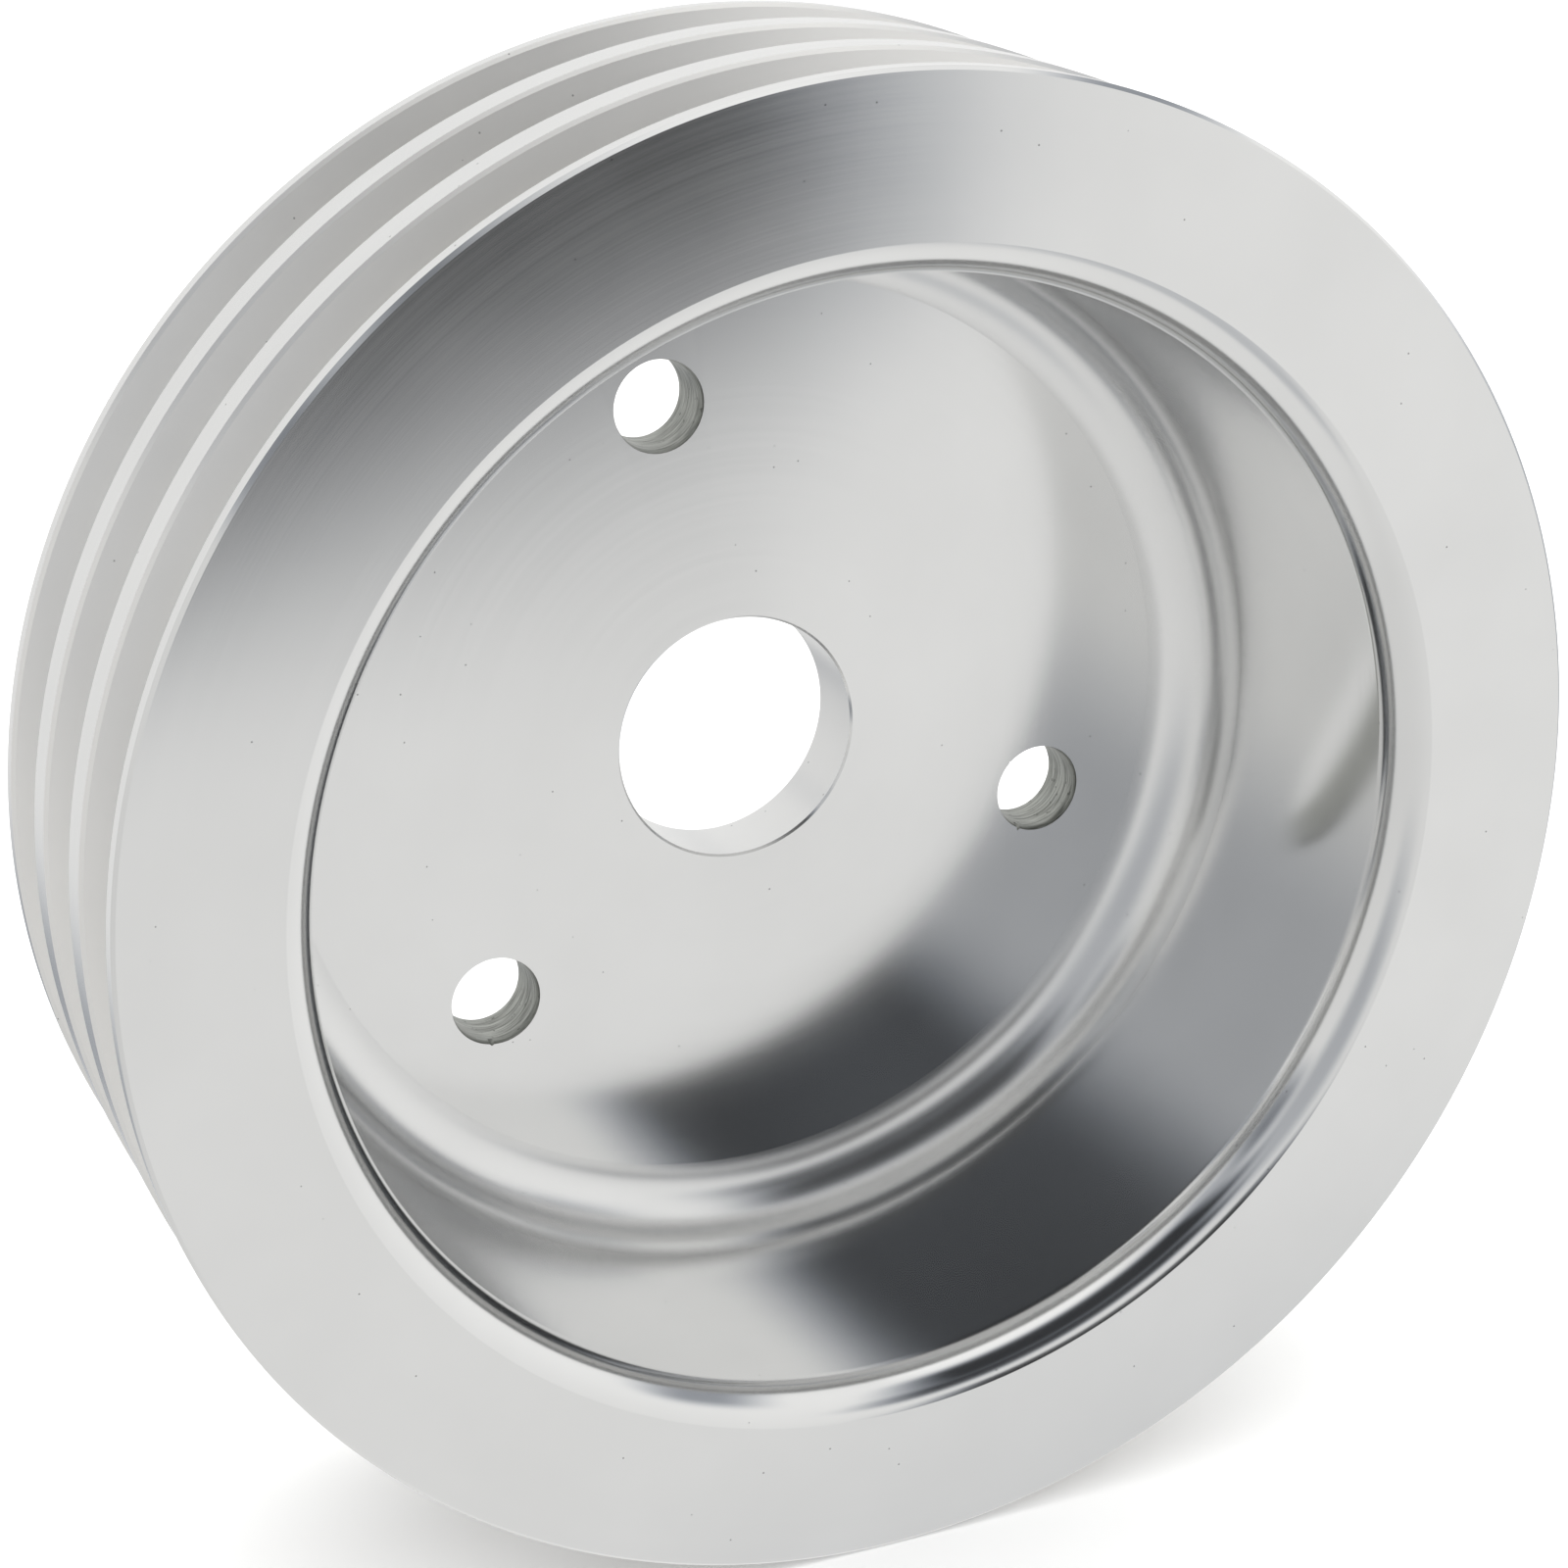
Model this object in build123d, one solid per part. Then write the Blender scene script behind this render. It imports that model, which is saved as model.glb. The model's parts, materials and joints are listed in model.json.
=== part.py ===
from build123d import *

import os
from math import cos, radians, sin, sqrt, tan

# A crankshaft pulley for V-belts, turned from one billet of aluminium.
# Its axis is Y. The open bowl faces -Y, and the back face bolts to the crankshaft at
# Y = 0. +Z is up. All sizes are in millimetres.

# Rim and belt grooves
outer_diameter = 162.4
groove_count = 3
groove_pitch = 15.67
groove_mouth = 11.5
groove_depth = 10.8
groove_angle = 36.0
edge_break = 0.4

# Bowl, open to the front
lip_edge_diameter = 128.8
lip_round_radius = 5.1
bowl_diameter = 121.4
bowl_depth = 42.6
bowl_floor_radius = 7.9

# Web, back face and centring ring
web_thickness = 6.9
rim_setback = 2.5
back_face_diameter = 112.0
back_face_bevel = 1.0
ring_diameter = 38.0
ring_height = 1.9

# Centre bore and bolt holes
bore_diameter = 28.2
bolt_circle_diameter = 80.5
bolt_hole_diameter = 10.0
bolt_hole_count = 3
first_hole_angle = 102.7
hole_edge_break = 0.25

# Sizes that follow from those above
outer_radius = outer_diameter / 2
front_y = -(bowl_depth + web_thickness)
floor_y = -web_thickness
wall_radius = bowl_diameter / 2


def corner(sketch, radius, y):
    """The sketch's corner at one radius and one Y."""
    return sketch.vertices().filter_by(lambda point: (point.center() - Vector(radius, y)).length < 0.01)


def blank():
    """The turned billet before its grooves, bowl and holes are cut."""
    back_radius = back_face_diameter / 2
    ring_radius = ring_diameter / 2
    with BuildSketch() as outline:
        with BuildLine():
            Polyline(
                (0, front_y),
                (outer_radius, front_y),
                (outer_radius, -rim_setback),
                (back_radius, -rim_setback),
                (back_radius, 0),
                (ring_radius, 0),
                (ring_radius, ring_height),
                (0, ring_height),
                close=True,
            )
        make_face()
        chamfer(corner(outline, outer_radius, front_y), edge_break)
        chamfer(corner(outline, outer_radius, -rim_setback), edge_break)
        chamfer(corner(outline, back_radius, 0), back_face_bevel)
        chamfer(corner(outline, ring_radius, ring_height), edge_break)
    return revolve(outline.sketch, axis=Axis.Y)


def bowl():
    """The bowl's space: rounded lip, straight wall, floor round and flat floor."""
    # The lip's round runs into the wall smoothly and meets the front face at a faint crease.
    lip_radius = lip_edge_diameter / 2
    crease_offset = lip_round_radius - (lip_radius - wall_radius)
    lip_end_y = front_y + sqrt(lip_round_radius**2 - crease_offset**2)
    halfway = lip_round_radius * sin(radians(45))
    outside_y = front_y - 5
    with BuildSketch() as section:
        with BuildLine():
            Polyline((0, outside_y), (lip_radius, outside_y), (lip_radius, front_y))
            ThreePointArc(
                (lip_radius, front_y),
                (wall_radius + lip_round_radius - halfway, lip_end_y - halfway),
                (wall_radius, lip_end_y),
            )
            Polyline((wall_radius, lip_end_y), (wall_radius, floor_y), (0, floor_y), (0, outside_y))
        make_face()
        fillet(corner(section, wall_radius, floor_y), bowl_floor_radius)
    return revolve(section.sketch, axis=Axis.Y)


def belt_groove(centre_y):
    """One V groove's space, with the edges of its mouth broken."""
    outside_radius = outer_radius + 2
    wall_top_radius = outer_radius - edge_break
    floor_radius = outer_radius - groove_depth
    half_mouth = groove_mouth / 2
    half_top = half_mouth - edge_break
    half_floor = half_top - (wall_top_radius - floor_radius) * tan(radians(groove_angle / 2))
    with BuildSketch() as section:
        with BuildLine():
            Polyline(
                (outside_radius, centre_y - half_mouth),
                (outer_radius, centre_y - half_mouth),
                (wall_top_radius, centre_y - half_top),
                (floor_radius, centre_y - half_floor),
                (floor_radius, centre_y + half_floor),
                (wall_top_radius, centre_y + half_top),
                (outer_radius, centre_y + half_mouth),
                (outside_radius, centre_y + half_mouth),
                close=True,
            )
        make_face()
    return revolve(section.sketch, axis=Axis.Y)


def hole(radius, back_y, x=0, z=0):
    """A hole along Y from the bowl's floor to the back, with both of its edges broken."""
    overrun = 1
    wide = radius + hole_edge_break + overrun
    with BuildSketch() as section:
        with BuildLine():
            Polyline(
                (0, floor_y - overrun),
                (wide, floor_y - overrun),
                (radius, floor_y + hole_edge_break),
                (radius, back_y - hole_edge_break),
                (wide, back_y + overrun),
                (0, back_y + overrun),
                close=True,
            )
        make_face()
    return Pos(x, 0, z) * revolve(section.sketch, axis=Axis.Y)


def crank_pulley():
    """The whole pulley, one solid."""
    pulley = blank() - bowl()
    for index in range(groove_count):
        pulley -= belt_groove(front_y + (index + 0.5) * groove_pitch)
    pulley -= hole(bore_diameter / 2, ring_height)
    for index in range(bolt_hole_count):
        angle = radians(first_hole_angle + index * 360 / bolt_hole_count)
        bolt_circle_radius = bolt_circle_diameter / 2
        pulley -= hole(
            bolt_hole_diameter / 2, 0, x=bolt_circle_radius * cos(angle), z=bolt_circle_radius * sin(angle)
        )
    return pulley


os.makedirs("parts", exist_ok=True)
export_step(crank_pulley(), "parts/crank_pulley.step")
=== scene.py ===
import json
from math import atan, cos, pi, radians, sin, sqrt, tan

import bmesh
import bpy
from mathutils import Matrix, Vector


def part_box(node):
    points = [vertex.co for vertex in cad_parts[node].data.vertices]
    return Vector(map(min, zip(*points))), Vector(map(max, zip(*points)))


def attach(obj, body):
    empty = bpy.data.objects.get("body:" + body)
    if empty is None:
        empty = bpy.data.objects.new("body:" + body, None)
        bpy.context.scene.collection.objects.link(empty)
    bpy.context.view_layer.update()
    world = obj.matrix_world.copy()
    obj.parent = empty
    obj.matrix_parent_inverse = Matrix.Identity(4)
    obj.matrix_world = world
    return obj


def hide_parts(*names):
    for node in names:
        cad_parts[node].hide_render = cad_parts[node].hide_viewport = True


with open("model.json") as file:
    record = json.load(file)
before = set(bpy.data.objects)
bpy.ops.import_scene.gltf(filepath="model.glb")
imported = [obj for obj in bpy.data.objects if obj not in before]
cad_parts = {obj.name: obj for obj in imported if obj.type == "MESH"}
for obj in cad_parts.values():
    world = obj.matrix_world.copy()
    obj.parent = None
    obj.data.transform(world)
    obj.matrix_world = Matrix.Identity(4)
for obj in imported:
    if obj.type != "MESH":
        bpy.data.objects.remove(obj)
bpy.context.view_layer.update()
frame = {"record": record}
mounts = {mount["name"]: mount for mount in frame["record"]["mounts"]}


# ---- The turned billet ----
# One bar of aluminium is turned between centres: flat front face, rolled lip, deep bowl with a large
# round at its floor, three V-belt grooves round the rim and a flat web that bolts to the crankshaft.
# Every surface on it is left by a lathe tool and then polished.
lowest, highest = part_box("crank_pulley")
rim_radius = highest.x
front_y = lowest.y
bore_radius = mounts["centre_bore"]["dims"]["r_mm"] / 1000
groove_pitch = 0.01567
groove_half_mouth = 0.00575
groove_floor_radius = rim_radius - 0.0108
groove_half_angle = radians(18)
edge_break = 0.0004
lip_edge_radius = 0.0644
lip_round = 0.0051
wall_radius = 0.0607
web_front_y = -0.0069
floor_round = 0.0079
rim_back_y = -0.0025
back_face_radius = 0.056
back_face_bevel = 0.001
ring_radius = 0.019
ring_back_y = highest.y
bore_edge_break = 0.00025
turning_steps = 384
round_steps = 8


def arc(centre, radius, start, end, steps):
    """Points (radius, y) on one round of the outline, its angles measured from the pulley's radius."""
    turns = [start + (end - start) * step / steps for step in range(steps + 1)]
    return [(centre[0] + radius * cos(turn), centre[1] + radius * sin(turn)) for turn in turns]


def groove_outline(centre_y):
    """The corners of one V groove in the rim, from its front edge to its rear edge, as (radius, y)."""
    half_top = groove_half_mouth - edge_break
    half_floor = half_top - (rim_radius - edge_break - groove_floor_radius) * tan(groove_half_angle)
    return [
        (rim_radius, centre_y - groove_half_mouth),
        (rim_radius - edge_break, centre_y - half_top),
        (groove_floor_radius, centre_y - half_floor),
        (groove_floor_radius, centre_y + half_floor),
        (rim_radius - edge_break, centre_y + half_top),
        (rim_radius, centre_y + groove_half_mouth),
    ]


lip_crease = lip_round - (lip_edge_radius - wall_radius)
lip_end_y = front_y + sqrt(lip_round ** 2 - lip_crease ** 2)
lip_centre = (wall_radius + lip_round, lip_end_y)
crease_turn = atan((lip_end_y - front_y) / lip_crease)
lip_outline = arc(lip_centre, lip_round, pi, pi + crease_turn, 2 * round_steps)
outline = [
    (bore_radius, web_front_y + bore_edge_break),
    (bore_radius + bore_edge_break, web_front_y),
    (wall_radius, web_front_y),
    *lip_outline,
    (rim_radius - edge_break, front_y),
    (rim_radius, front_y + edge_break),
    *[corner for index in range(3) for corner in groove_outline(front_y + (index + 0.5) * groove_pitch)],
    (rim_radius, rim_back_y - edge_break),
    (rim_radius - edge_break, rim_back_y),
    (back_face_radius, rim_back_y),
    (back_face_radius, -back_face_bevel),
    (back_face_radius - back_face_bevel, 0),
    (ring_radius, 0),
    (ring_radius, ring_back_y - edge_break),
    (ring_radius - edge_break, ring_back_y),
    (bore_radius + bore_edge_break, ring_back_y),
    (bore_radius, ring_back_y - bore_edge_break),
]

turned = bmesh.new()
corners = [turned.verts.new((radius, y, 0)) for radius, y in outline]
for here, there in zip(corners, corners[1:] + corners[:1]):
    turned.edges.new((here, there))
bmesh.ops.bevel(
    turned, geom=[corners[2]], offset=floor_round, offset_type="OFFSET", affect="VERTICES",
    segments=2 * round_steps, profile=0.5, material=-1,
)
bmesh.ops.spin(
    turned, geom=turned.verts[:] + turned.edges[:], cent=(0, 0, 0), axis=(0, 1, 0),
    angle=2 * pi, steps=turning_steps, use_merge=True, use_duplicate=False,
)
bmesh.ops.remove_doubles(turned, verts=turned.verts[:], dist=1e-6)
bmesh.ops.recalc_face_normals(turned, faces=turned.faces[:])
metal_mesh = bpy.data.meshes.new("crank_pulley_metal")
turned.to_mesh(metal_mesh)
turned.free()
metal = bpy.data.objects.new("crank_pulley_metal", metal_mesh)
bpy.context.collection.objects.link(metal)


# ---- Drilled holes ----
# Three bolt holes are drilled through the web and their mouths opened a little by the deburring tool.
# Two of them carry small nicks at the mouth, left by the drill as it broke in.
bolts = mounts["crank_bolts"]["dims"]
bolt_circle_radius = bolts["pcd_mm"] / 2000
bolt_hole_radius = bolts["hole_r_mm"] / 1000
first_hole_angle = radians(102.7)
hole_edge_break = 0.00025
mouth_depth = 0.0013
overrun = 0.001
hole_steps = 96


def drill(x, z, back_y):
    """The space that one drilled hole takes out of the web, closed at both ends."""
    tool = bmesh.new()
    wide = bolt_hole_radius + hole_edge_break
    mouth = [
        (bolt_hole_radius + hole_edge_break * (1 - step / 4) ** 2, web_front_y + mouth_depth * step / 4)
        for step in range(5)
    ]
    profile = [
        (0, web_front_y - overrun), (wide, web_front_y - overrun), *mouth,
        (bolt_hole_radius, back_y - hole_edge_break),
        (wide + overrun, back_y + overrun), (0, back_y + overrun),
    ]
    points = [tool.verts.new((radius, y, 0)) for radius, y in profile]
    for here, there in zip(points, points[1:]):
        tool.edges.new((here, there))
    bmesh.ops.spin(
        tool, geom=tool.verts[:] + tool.edges[:], cent=(0, 0, 0), axis=(0, 1, 0),
        angle=2 * pi, steps=hole_steps, use_merge=True, use_duplicate=False,
    )
    bmesh.ops.translate(tool, verts=tool.verts[:], vec=(x, 0, z))
    return tool


def nick(x, z, angle, reach, width, depth):
    """The space of one pointed nick at a hole's mouth, its point turned outwards."""
    tool = bmesh.new()
    point = Matrix.Translation((x, web_front_y, z)) @ Matrix.Rotation(-angle, 4, "Y")
    bmesh.ops.create_cone(
        tool, segments=3, radius1=reach, radius2=reach / 3, depth=2 * depth, cap_ends=True,
        matrix=point @ Matrix.Translation((bolt_hole_radius, 0, 0)) @ Matrix.Rotation(radians(-90), 4, "X")
        @ Matrix.Rotation(radians(-90), 4, "Z") @ Matrix.Diagonal((width, 1, 1, 1)),
    )
    return tool


def cut(tool, name):
    """Takes one tool's space out of the billet."""
    bmesh.ops.remove_doubles(tool, verts=tool.verts[:], dist=1e-7)
    bmesh.ops.recalc_face_normals(tool, faces=tool.faces[:])
    mesh = bpy.data.meshes.new(name)
    tool.to_mesh(mesh)
    tool.free()
    cutter = bpy.data.objects.new(name, mesh)
    bpy.context.collection.objects.link(cutter)
    modifier = metal.modifiers.new(name, "BOOLEAN")
    modifier.operation = "DIFFERENCE"
    modifier.solver = "EXACT"
    modifier.object = cutter
    bpy.context.view_layer.objects.active = metal
    bpy.ops.object.modifier_apply(modifier=name)
    bpy.data.objects.remove(cutter)
    bpy.data.meshes.remove(mesh)


hole_places = []
for index in range(bolts["count"]):
    hole_angle = first_hole_angle + index * 2 * pi / bolts["count"]
    hole_places.append((bolt_circle_radius * cos(hole_angle), bolt_circle_radius * sin(hole_angle)))
for index, (x, z) in enumerate(hole_places):
    cut(drill(x, z, 0), f"bolt_drill_{index + 1}")
cut(nick(*hole_places[2], radians(-116.7), reach=0.00090, width=1.2, depth=0.0014), "right_nick")
cut(nick(*hole_places[2], radians(134), reach=0.00055, width=2.6, depth=0.0005), "right_chip")
cut(nick(*hole_places[1], radians(-97.1), reach=0.00068, width=2.2, depth=0.0010), "left_nick")

metal_mesh.polygons.foreach_set("use_smooth", [True] * len(metal_mesh.polygons))
metal_mesh.set_sharp_from_angle(angle=radians(12))
face_normals = metal.modifiers.new("face_normals", "WEIGHTED_NORMAL")
face_normals.keep_sharp = True


# ---- Turned and polished finish ----
# The lathe leaves fine rings round the axis, so reflections spread across them and not along them.
# The face and bowl are polished bright, the groove walls keep more of the tool's marks and are painted a
# lighter colour as painted light, and the drilled walls are scratched and pitted and painted dark grey as
# painted shade in the holes.
metal_colour = (0.83, 0.83, 0.825)
drilled_reach = bolt_hole_radius + 0.0012
slight = 1e-4


def link(material, *pairs):
    """Joins sockets in pairs, the first to the second."""
    for start, end in pairs:
        material.node_tree.links.new(start, end)


def node(material, kind, **settings):
    """A new node with its settings made."""
    made = material.node_tree.nodes.new(kind)
    for name, value in settings.items():
        setattr(made, name, value)
    return made


def vector_maths(material, operation, first, second=None):
    """The vector that one operation gives; each input is a socket or three numbers."""
    made = node(material, "ShaderNodeVectorMath", operation=operation)
    for value, socket in zip((first, second), made.inputs):
        if isinstance(value, tuple):
            socket.default_value = value
        elif value is not None:
            link(material, (value, socket))
    return made.outputs["Value" if operation in ("LENGTH", "DOT_PRODUCT") else "Vector"]


def maths(material, operation, first, second=None):
    """The number that one operation gives; each input is a socket or a number."""
    made = node(material, "ShaderNodeMath", operation=operation)
    for value, socket in zip((first, second), made.inputs):
        if isinstance(value, (int, float)):
            socket.default_value = value
        elif value is not None:
            link(material, (value, socket))
    return made.outputs[0]


def turned_finish(name, roughness, anisotropy, ring_height, ring_width, colour=metal_colour, wear=0.04):
    """Aluminium as the lathe leaves it: rings round the axis, and reflections spread across the rings."""
    material = bpy.data.materials.new(name)
    material.use_nodes = True
    shader = material.node_tree.nodes["Principled BSDF"]
    shader.inputs["Metallic"].default_value = 1
    shader.inputs["Anisotropic"].default_value = anisotropy
    place = node(material, "ShaderNodeTexCoord").outputs["Object"]
    normal = node(material, "ShaderNodeNewGeometry").outputs["Normal"]
    round_axis = vector_maths(material, "CROSS_PRODUCT", (0, 1, 0), place)
    across = vector_maths(material, "CROSS_PRODUCT", normal, round_axis)
    link(material, (vector_maths(material, "NORMALIZE", across), shader.inputs["Tangent"]))

    # Where on the turned outline this spot is: its distance from the axis and its place along it.
    radius = vector_maths(material, "LENGTH", vector_maths(material, "MULTIPLY", place, (1, 0, 1)))
    along = vector_maths(material, "DOT_PRODUCT", place, (0, 1, 0))
    track = node(material, "ShaderNodeCombineXYZ")
    link(material, (radius, track.inputs["X"]), (along, track.inputs["Y"]))
    rings = node(material, "ShaderNodeTexNoise", noise_dimensions="2D", noise_type="FBM")
    rings.inputs["Scale"].default_value = 1 / ring_width
    rings.inputs["Detail"].default_value = 3
    rings.inputs["Roughness"].default_value = 0.7
    clouds = node(material, "ShaderNodeTexNoise")
    clouds.inputs["Scale"].default_value = 60
    clouds.inputs["Detail"].default_value = 5
    link(material, (track.outputs[0], rings.inputs["Vector"]), (place, clouds.inputs["Vector"]))

    # Rings and faint clouds of wear change the gloss a little.
    gloss = maths(material, "ADD", maths(material, "MULTIPLY", rings.outputs[0], 0.03),
                  maths(material, "MULTIPLY", clouds.outputs[0], wear))
    link(material, (maths(material, "ADD", gloss, roughness - 0.015 - wear / 2), shader.inputs["Roughness"]))
    tint = node(material, "ShaderNodeMapRange")
    tint.inputs["From Min"].default_value = 0.3
    tint.inputs["From Max"].default_value = 0.7
    tint.inputs["To Min"].default_value = 0.96
    tint.inputs["To Max"].default_value = 1.0
    link(material, (clouds.outputs[0], tint.inputs["Value"]))

    # A few tiny pits are painted dark into the colour: painted shade in the pits, with no hollow cut for
    # them.
    cells = node(material, "ShaderNodeTexVoronoi")
    cells.inputs["Scale"].default_value = 300
    painted_dark_pits = node(material, "ShaderNodeMapRange", interpolation_type="SMOOTHSTEP")
    painted_dark_pits.inputs["From Min"].default_value = 0.020
    painted_dark_pits.inputs["From Max"].default_value = 0.040
    painted_dark_pits.inputs["To Min"].default_value = 0.45
    link(material, (place, cells.inputs["Vector"]), (cells.outputs["Distance"], painted_dark_pits.inputs["Value"]))
    shaded = node(material, "ShaderNodeVectorMath", operation="SCALE")
    shaded.inputs[0].default_value = colour
    link(material, (maths(material, "MULTIPLY", tint.outputs[0], painted_dark_pits.outputs[0]), shaded.inputs["Scale"]),
         (shaded.outputs[0], shader.inputs["Base Color"]))
    bump = node(material, "ShaderNodeBump")
    bump.inputs["Strength"].default_value = 1
    bump.inputs["Distance"].default_value = ring_height
    link(material, (rings.outputs[0], bump.inputs["Height"]), (bump.outputs[0], shader.inputs["Normal"]))
    return material


face_finish = turned_finish("turned_face", 0.12, 0.75, ring_height=5e-7, ring_width=0.0004, wear=0.02)
round_finish = turned_finish("buffed_round", 0.22, 0.55, ring_height=2e-7, ring_width=0.0006)
bowl_finish = turned_finish("polished_bowl", 0.12, 0.75, ring_height=2e-7, ring_width=0.0006, wear=0.02)
# The groove walls are given a lighter, warmer colour than the rest of the metal: painted light that
# brightens them.
groove_finish = turned_finish(
    "turned_groove", 0.40, 0.60, ring_height=3e-6, ring_width=0.0005, colour=(0.94, 0.93, 0.91),
)
bore_finish = turned_finish("bored_wall", 0.30, 0.60, ring_height=3e-7, ring_width=0.0004)


def drilled_metal():
    """Aluminium inside a drilled hole, painted dark grey for the shade in the hole: scratches run round the
    wall, with small pits painted darker.
    """
    material = bpy.data.materials.new("drilled_wall")
    material.use_nodes = True
    shader = material.node_tree.nodes["Principled BSDF"]
    shader.inputs["Metallic"].default_value = 1
    place = node(material, "ShaderNodeTexCoord").outputs["Object"]
    stretched = vector_maths(material, "MULTIPLY", place, (220, 2600, 220))
    scratches = node(material, "ShaderNodeTexNoise")
    scratches.inputs["Scale"].default_value = 1
    scratches.inputs["Detail"].default_value = 6
    scratches.inputs["Roughness"].default_value = 0.65
    tears = node(material, "ShaderNodeTexNoise")
    tears.inputs["Scale"].default_value = 1400
    tears.inputs["Detail"].default_value = 3
    link(material, (stretched, scratches.inputs["Vector"]), (place, tears.inputs["Vector"]))
    painted_dark_pits = node(material, "ShaderNodeMapRange", interpolation_type="SMOOTHSTEP")
    painted_dark_pits.inputs["From Min"].default_value = 0.66
    painted_dark_pits.inputs["From Max"].default_value = 0.72
    link(material, (tears.outputs[0], painted_dark_pits.inputs["Value"]))
    # Painted shade: the hole walls are coloured dark grey, 0.17 to 0.52, for the shade inside the holes;
    # scratches and pits darken it further in places.
    scratch_and_hole_shade = node(material, "ShaderNodeValToRGB")
    scratch_and_hole_shade.color_ramp.elements[0].position = 0.35
    scratch_and_hole_shade.color_ramp.elements[0].color = (0.17, 0.175, 0.16, 1)
    scratch_and_hole_shade.color_ramp.elements[1].position = 0.65
    scratch_and_hole_shade.color_ramp.elements[1].color = (0.52, 0.53, 0.50, 1)
    pitted = maths(material, "MULTIPLY", painted_dark_pits.outputs[0], 0.3)
    darkened = maths(material, "SUBTRACT", scratches.outputs[0], pitted)
    gloss = maths(material, "ADD", maths(material, "MULTIPLY", scratches.outputs[0], 0.3), 0.28)
    bump = node(material, "ShaderNodeBump")
    bump.inputs["Strength"].default_value = 1
    bump.inputs["Distance"].default_value = 4e-5
    link(material, (darkened, scratch_and_hole_shade.inputs["Fac"]), (scratch_and_hole_shade.outputs[0], shader.inputs["Base Color"]),
         (gloss, shader.inputs["Roughness"]), (darkened, bump.inputs["Height"]),
         (bump.outputs[0], shader.inputs["Normal"]))
    return material


drilled_finish = drilled_metal()
finishes = [face_finish, bowl_finish, groove_finish, bore_finish, drilled_finish, round_finish]
for finish in finishes:
    metal_mesh.materials.append(finish)


def finish_at(centre, normal):
    """The finish of one face of the mesh, from its place on the billet."""
    radius = sqrt(centre.x ** 2 + centre.z ** 2)
    from_hole = min(sqrt((centre.x - x) ** 2 + (centre.z - z) ** 2) for x, z in hole_places)
    if from_hole < drilled_reach and abs(normal.y) < 0.99:
        return drilled_finish
    if radius < bore_radius + slight:
        return bore_finish
    in_rim = front_y + 10 * slight < centre.y < rim_back_y - 10 * slight
    if in_rim and groove_floor_radius - slight < radius < rim_radius - slight:
        return groove_finish
    in_round = web_front_y - floor_round < centre.y < web_front_y - slight / 10
    if in_round and wall_radius - floor_round < radius < wall_radius:
        return round_finish
    if radius < lip_edge_radius and centre.y < web_front_y + slight:
        return bowl_finish
    return face_finish


for polygon in metal_mesh.polygons:
    polygon.material_index = finishes.index(finish_at(polygon.center, polygon.normal))
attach(metal, "root")
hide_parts("crank_pulley")


# ---- Floor ----
# A wide pale table top that the pulley stands on, painted matt. It is left out of the metal's
# reflections, which show the tent round it instead.
floor_mesh = bpy.data.meshes.new("pale_floor")
table = bmesh.new()
bmesh.ops.create_grid(table, x_segments=1, y_segments=1, size=4, matrix=Matrix.Translation((0, 0, lowest.z)))
table.to_mesh(floor_mesh)
table.free()
floor = bpy.data.objects.new("pale_floor", floor_mesh)
bpy.context.collection.objects.link(floor)
floor.visible_glossy = False
paint = bpy.data.materials.new("pale_paint")
paint.use_nodes = True
paint.node_tree.nodes["Principled BSDF"].inputs["Base Color"].default_value = (0.95, 0.95, 0.95, 1)
paint.node_tree.nodes["Principled BSDF"].inputs["Roughness"].default_value = 0.9
floor_mesh.materials.append(paint)


# ---- Light and camera ----
# A white tent lights the pulley from all round, with black cards set in it where the metal is to
# show its depth. The cards are seen only in the metal.
room = bpy.data.worlds.new("studio")
room.use_nodes = True
background = room.node_tree.nodes["Background"]
direction = node(room, "ShaderNodeTexCoord").outputs["Generated"]


def black_card(azimuth, elevation, roll, half_width, half_height, soft_width, soft_height, depth):
    """How much light one soft-edged card lets past, from 0 to 1, by direction. Its angles are in degrees."""
    turn = node(room, "ShaderNodeVectorRotate", rotation_type="EULER_XYZ", invert=True)
    turn.inputs["Rotation"].default_value = (
        Matrix.Rotation(radians(azimuth), 4, "Z") @ Matrix.Rotation(radians(-elevation), 4, "X")
        @ Matrix.Rotation(radians(-roll), 4, "Y")
    ).to_euler("XYZ")
    parts = node(room, "ShaderNodeSeparateXYZ")
    link(room, (direction, turn.inputs["Vector"]), (turn.outputs[0], parts.inputs[0]))
    ahead = maths(room, "MULTIPLY", parts.outputs["Y"], -1)
    cover = depth
    for side, half, soft in (("X", half_width, soft_width), ("Z", half_height, soft_height)):
        angle = maths(room, "ABSOLUTE", maths(room, "ARCTAN2", parts.outputs[side], ahead))
        edge = node(room, "ShaderNodeMapRange", interpolation_type="SMOOTHSTEP")
        edge.inputs["From Min"].default_value = radians(half + soft)
        edge.inputs["From Max"].default_value = radians(half - soft)
        link(room, (angle, edge.inputs["Value"]))
        cover = maths(room, "MULTIPLY", edge.outputs[0], cover)
    return maths(room, "SUBTRACT", 1, cover)


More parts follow.
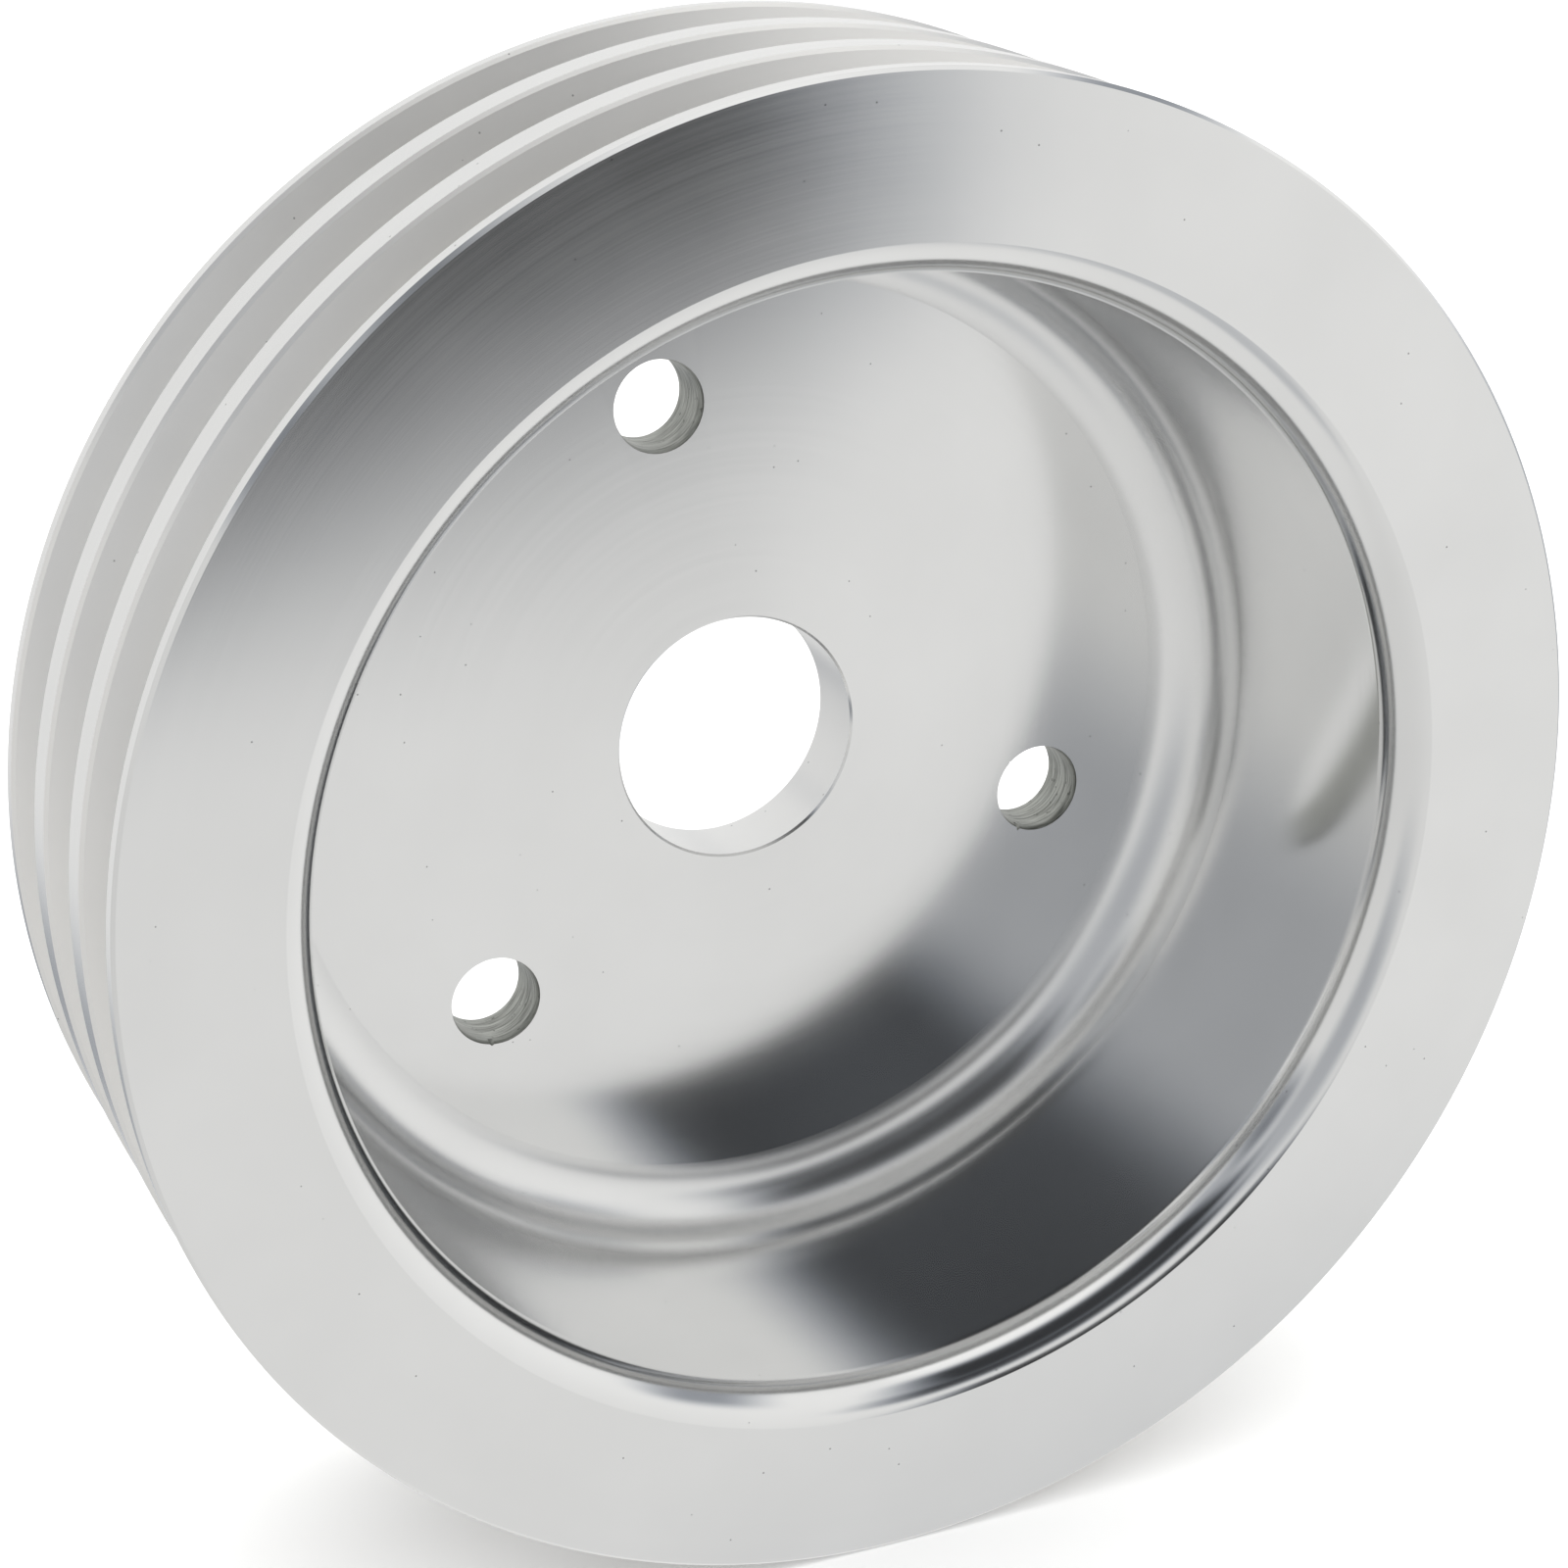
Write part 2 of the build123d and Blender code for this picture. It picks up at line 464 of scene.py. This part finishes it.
cards = [
    black_card(-10, 50, 8, 26, 17, 7, 7, 0.97),
    black_card(3, 28, 4, 20, 8, 6, 4, 0.95),
    black_card(12.4, -4.4, 22, 10, 12, 3, 1.8, 1.0),
    black_card(23.4, -42, 29, 20, 6, 6, 3, 0.25),
    black_card(-61, 48, 17, 13, 12, 8, 7, 0.4),
    black_card(-30, 12, 0, 20, 22, 12, 12, 0.38),
    black_card(122, -16, 25, 7, 26, 8, 9, 0.55),
    black_card(-122, -30, -20, 11, 24, 9, 9, 0.5),
    black_card(100, 42, 0, 36, 8, 10, 6, 0.6),
    black_card(-98, 38, 0, 36, 8, 10, 6, 0.6),
    black_card(180, -14, 12, 7, 18, 6, 6, 0.55),
]
passed = cards[0]
for card in cards[1:]:
    passed = maths(room, "MULTIPLY", passed, card)
slope = vector_maths(room, "DOT_PRODUCT", direction, (0.106, 0.036, 0.047))
height = vector_maths(room, "DOT_PRODUCT", direction, (0, 0, 1))
glow = maths(room, "ADD", slope, 0.857)
for low, high, gain in ((-0.70, -0.87, 0.04), (0.90, 0.97, 0.15)):
    band = node(room, "ShaderNodeMapRange", interpolation_type="SMOOTHSTEP")
    band.inputs["From Min"].default_value = low
    band.inputs["From Max"].default_value = high
    band.inputs["To Max"].default_value = gain
    link(room, (height, band.inputs["Value"]))
    glow = maths(room, "ADD", glow, band.outputs[0])
in_metal = maths(room, "MULTIPLY", glow, passed)
rays = node(room, "ShaderNodeLightPath").outputs
strength = node(room, "ShaderNodeMix")
strength.inputs["A"].default_value = 1.6
link(room, (rays["Is Glossy Ray"], strength.inputs["Factor"]), (in_metal, strength.inputs["B"]))
tint = node(room, "ShaderNodeMix", data_type="RGBA")
tint.inputs["A"].default_value = (0.78, 0.86, 1, 1)
tint.inputs["B"].default_value = (1, 1, 0.992, 1)
in_tent = maths(room, "MAXIMUM", passed, maths(room, "SUBTRACT", 1, rays["Is Glossy Ray"]))
link(room, (in_tent, tint.inputs["Factor"]), (tint.outputs["Result"], background.inputs["Color"]),
     (strength.outputs[0], background.inputs["Strength"]))
bpy.context.scene.world = room
bpy.context.scene.view_settings.view_transform = "Standard"
bpy.context.scene.cycles.glossy_bounces = 12

camera_data = bpy.data.cameras.new("camera")
camera_data.lens = 79.56
camera_data.sensor_width = 36
camera_data.shift_x = -0.0068
camera_data.shift_y = 0.0223
camera_data.clip_start = 0.01
camera = bpy.data.objects.new("camera", camera_data)
bpy.context.collection.objects.link(camera)
camera.location = (-0.1414, -0.3466, 0.1339)
camera.rotation_mode = "QUATERNION"
camera.rotation_quaternion = Vector((0.3731, 0.8534, -0.3640)).to_track_quat("-Z", "Y")
bpy.context.scene.camera = camera
